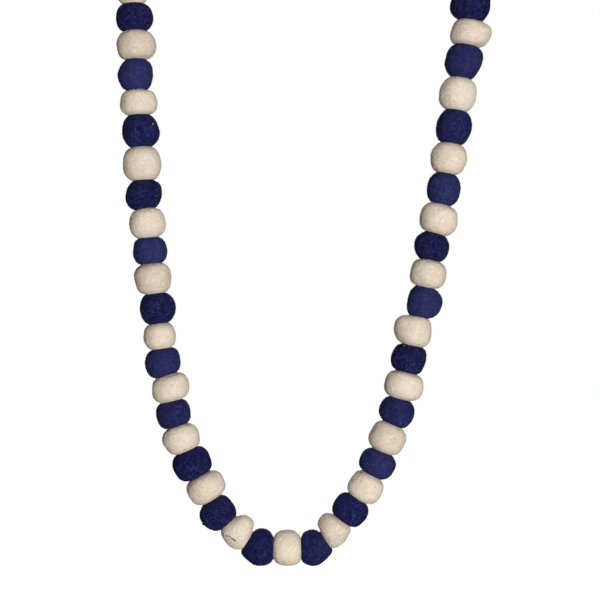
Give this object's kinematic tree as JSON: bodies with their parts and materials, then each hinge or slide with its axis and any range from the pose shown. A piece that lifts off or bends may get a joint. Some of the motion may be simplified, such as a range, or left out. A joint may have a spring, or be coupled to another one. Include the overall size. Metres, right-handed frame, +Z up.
{
  "type": "felt ball garland",
  "caption": "Row of pierced wool felt balls in two colours in turn, pressed together on a thread that hangs in a U from a knotted loop at each end.",
  "frame": {"origin": "inside top of the left hanging loop, where it bears on whatever holds it", "axes": "+Z up, +X from the left loop to the right loop, level, with the row hanging in the XZ plane; the front faces -Y"},
  "size_m": [0.2555, 0.0275, 0.4343],
  "materials": {
    "felt_cream": "undyed cream wool felt, matt, with fine matted fibres",
    "felt_blue": "navy to royal blue wool felt, matt, with paler swirled fibres",
    "thread": "natural cotton thread of twisted plies"
  },
  "bodies": {
    "root": {"ball_01_cream": "felt_cream", "ball_02_blue": "felt_blue", "ball_03_cream": "felt_cream", "ball_04_blue": "felt_blue", "ball_05_cream": "felt_cream", "ball_06_blue": "felt_blue", "ball_07_cream": "felt_cream", "ball_08_blue": "felt_blue", "ball_09_cream": "felt_cream", "ball_10_blue": "felt_blue", "ball_11_cream": "felt_cream", "ball_12_blue": "felt_blue", "ball_13_cream": "felt_cream", "ball_14_blue": "felt_blue", "ball_15_cream": "felt_cream", "ball_16_blue": "felt_blue", "ball_17_cream": "felt_cream", "ball_18_blue": "felt_blue", "ball_19_cream": "felt_cream", "ball_20_blue": "felt_blue", "ball_21_cream": "felt_cream", "ball_22_blue": "felt_blue", "ball_23_cream": "felt_cream", "ball_24_blue": "felt_blue", "ball_25_cream": "felt_cream", "ball_26_blue": "felt_blue", "ball_27_cream": "felt_cream", "ball_28_blue": "felt_blue", "ball_29_cream": "felt_cream", "ball_30_blue": "felt_blue", "ball_31_cream": "felt_cream", "ball_32_blue": "felt_blue", "ball_33_cream": "felt_cream", "ball_34_blue": "felt_blue", "ball_35_cream": "felt_cream", "ball_36_blue": "felt_blue", "ball_37_cream": "felt_cream", "ball_38_blue": "felt_blue", "ball_39_cream": "felt_cream", "ball_40_blue": "felt_blue", "ball_41_cream": "felt_cream", "ball_42_blue": "felt_blue", "ball_43_cream": "felt_cream", "ball_44_blue": "felt_blue", "thread": "thread", "left_loop": "thread", "right_loop": "thread"}
  },
  "joints": []
}
